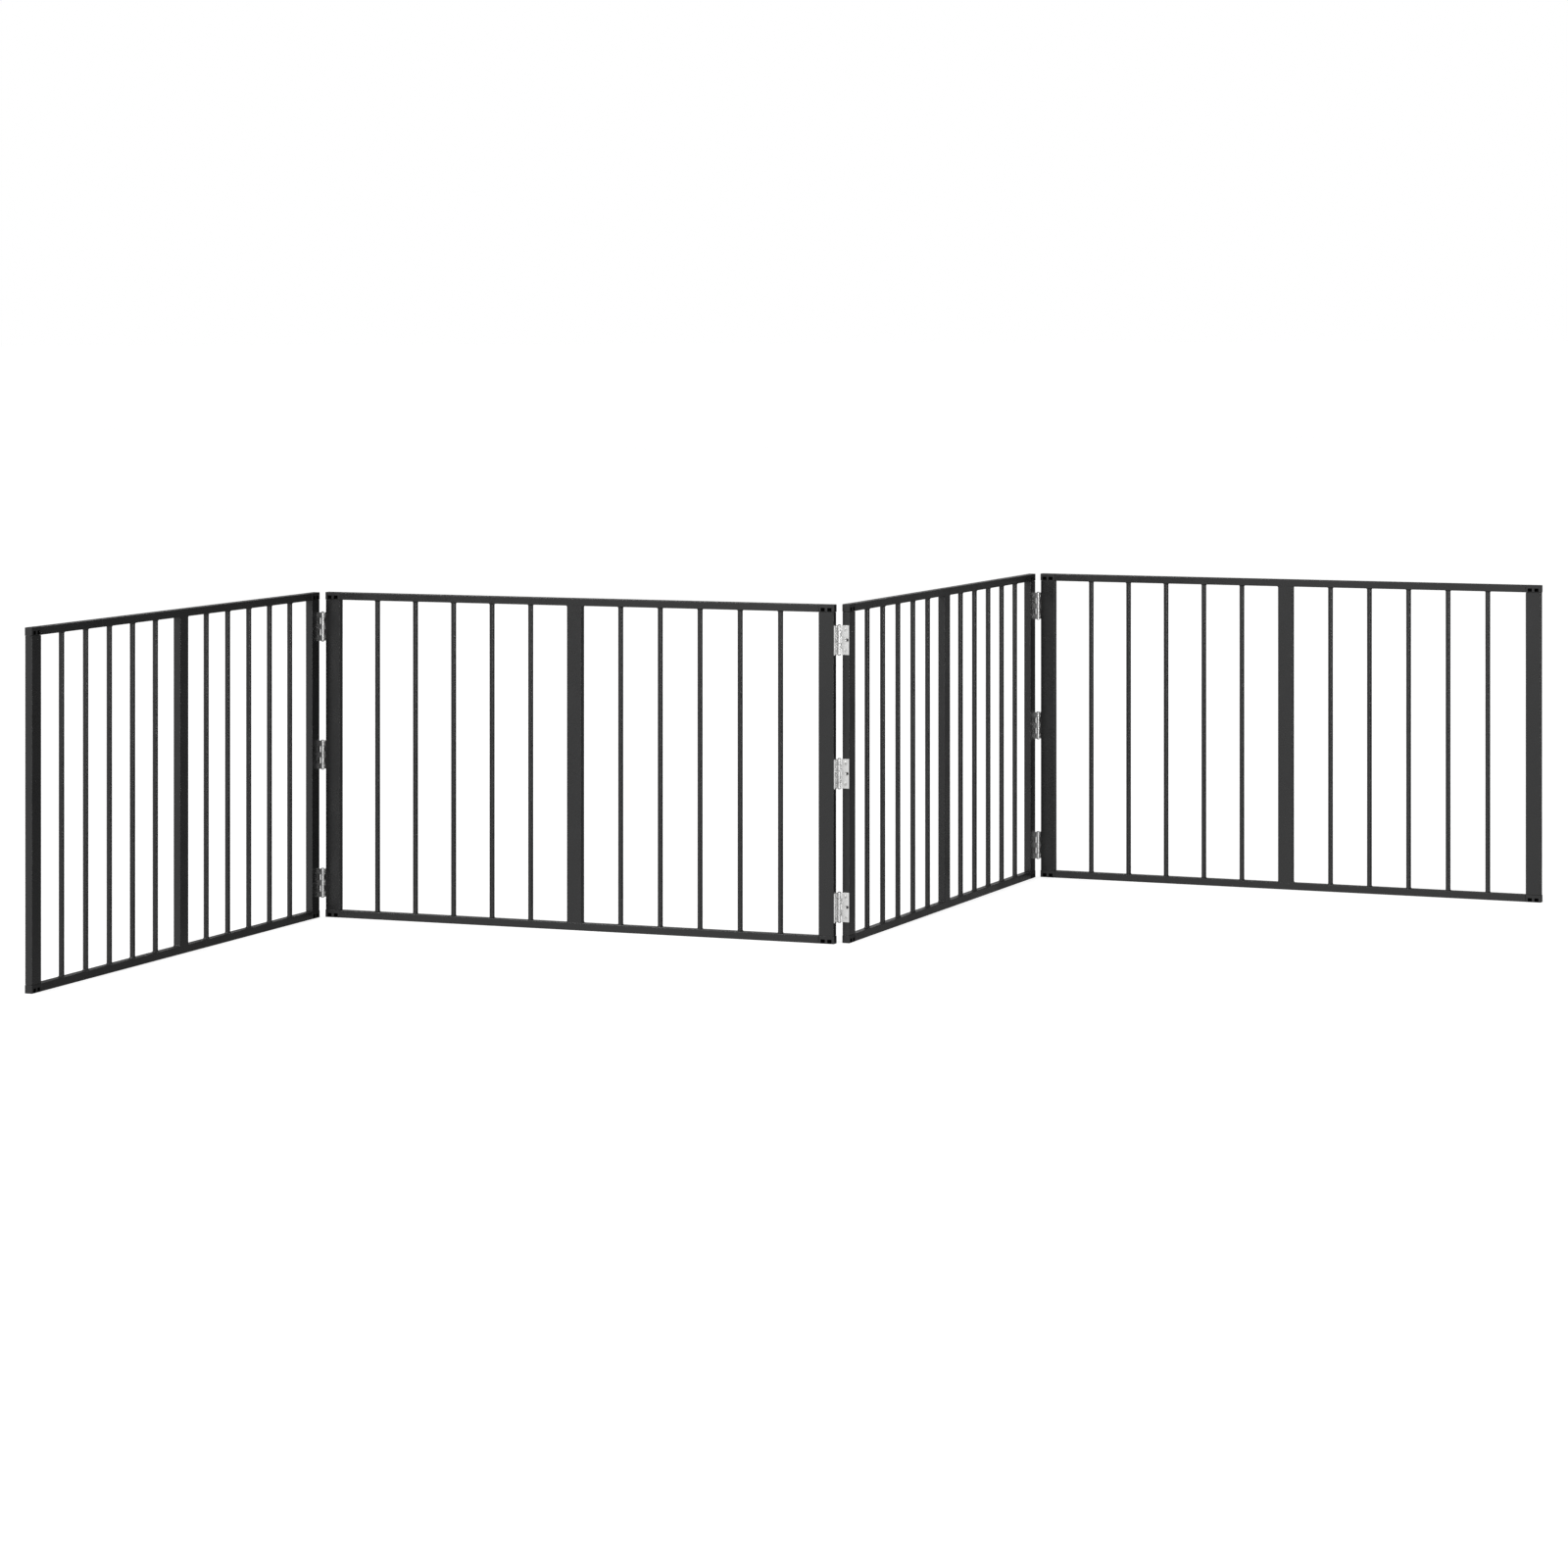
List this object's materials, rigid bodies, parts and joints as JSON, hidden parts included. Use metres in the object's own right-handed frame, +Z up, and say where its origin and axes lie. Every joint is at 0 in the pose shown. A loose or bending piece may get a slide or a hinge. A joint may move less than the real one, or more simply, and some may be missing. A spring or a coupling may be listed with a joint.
{
  "type": "folding hearth guard",
  "caption": "Free-standing folding hearth guard: barred black steel panels in a zigzag, joined by butt hinges.",
  "frame": {"origin": "on the floor, under the middle of the standing guard's box", "axes": "+X along the zigzag from panel 1 to panel 4, +Y towards the back, +Z up"},
  "size_m": [2.523, 0.6334, 0.52],
  "materials": {
    "frame_black": "satin black powder coat with a fine orange peel",
    "plug_plastic": "moulded black plastic",
    "hinge_zinc": "bright zinc-plated steel",
    "pin_steel": "plain steel pin"
  },
  "bodies": {
    "panel_1": {"panel_1_top_rail": "frame_black", "panel_1_bar_grille": "frame_black", "panel_1_left_stile": "frame_black", "panel_1_right_stile": "frame_black", "panel_1_corner_plug_top_left": "plug_plastic", "panel_1_corner_plug_bottom_left": "plug_plastic", "panel_1_corner_plug_top_right": "plug_plastic", "panel_1_corner_plug_bottom_right": "plug_plastic", "hinge_1_bottom_leaf_left": "hinge_zinc", "hinge_1_middle_leaf_left": "hinge_zinc", "hinge_1_top_leaf_left": "hinge_zinc"},
    "panel_2": {"panel_2_top_rail": "frame_black", "panel_2_bar_grille": "frame_black", "panel_2_left_stile": "frame_black", "panel_2_right_stile": "frame_black", "panel_2_corner_plug_top_left": "plug_plastic", "panel_2_corner_plug_bottom_left": "plug_plastic", "panel_2_corner_plug_top_right": "plug_plastic", "panel_2_corner_plug_bottom_right": "plug_plastic", "hinge_1_bottom_leaf_right": "hinge_zinc", "hinge_1_bottom_pin": "pin_steel", "hinge_1_middle_leaf_right": "hinge_zinc", "hinge_1_middle_pin": "pin_steel", "hinge_1_top_leaf_right": "hinge_zinc", "hinge_1_top_pin": "pin_steel", "hinge_2_bottom_leaf_left": "hinge_zinc", "hinge_2_bottom_pin": "pin_steel", "hinge_2_middle_leaf_left": "hinge_zinc", "hinge_2_middle_pin": "pin_steel", "hinge_2_top_leaf_left": "hinge_zinc", "hinge_2_top_pin": "pin_steel"},
    "panel_3": {"panel_3_top_rail": "frame_black", "panel_3_bar_grille": "frame_black", "panel_3_left_stile": "frame_black", "panel_3_right_stile": "frame_black", "panel_3_corner_plug_top_left": "plug_plastic", "panel_3_corner_plug_bottom_left": "plug_plastic", "panel_3_corner_plug_top_right": "plug_plastic", "panel_3_corner_plug_bottom_right": "plug_plastic", "hinge_2_bottom_leaf_right": "hinge_zinc", "hinge_2_middle_leaf_right": "hinge_zinc", "hinge_2_top_leaf_right": "hinge_zinc", "hinge_3_bottom_leaf_left": "hinge_zinc", "hinge_3_bottom_pin": "pin_steel", "hinge_3_middle_leaf_left": "hinge_zinc", "hinge_3_middle_pin": "pin_steel", "hinge_3_top_leaf_left": "hinge_zinc", "hinge_3_top_pin": "pin_steel"},
    "panel_4": {"panel_4_top_rail": "frame_black", "panel_4_bar_grille": "frame_black", "panel_4_left_stile": "frame_black", "panel_4_right_stile": "frame_black", "panel_4_corner_plug_top_left": "plug_plastic", "panel_4_corner_plug_bottom_left": "plug_plastic", "panel_4_corner_plug_top_right": "plug_plastic", "panel_4_corner_plug_bottom_right": "plug_plastic", "hinge_3_bottom_leaf_right": "hinge_zinc", "hinge_3_middle_leaf_right": "hinge_zinc", "hinge_3_top_leaf_right": "hinge_zinc"}
  },
  "joints": [
    {"name": "hinge_line_1", "type": "hinge", "parent": "panel_2", "child": "panel_1", "pos_m": [-0.63188, 0.30687, 0], "axis": [0, 0, 1], "range_deg": [-89, 91]},
    {"name": "hinge_line_2", "type": "hinge", "parent": "panel_2", "child": "panel_3", "pos_m": [0.0069, -0.28966, 0], "axis": [0, 0, 1], "range_deg": [-88.6, 91.4]},
    {"name": "hinge_line_3", "type": "hinge", "parent": "panel_3", "child": "panel_4", "pos_m": [0.64569, 0.30687, 0], "axis": [0, 0, 1], "range_deg": [-89.7, 90.3]}
  ]
}
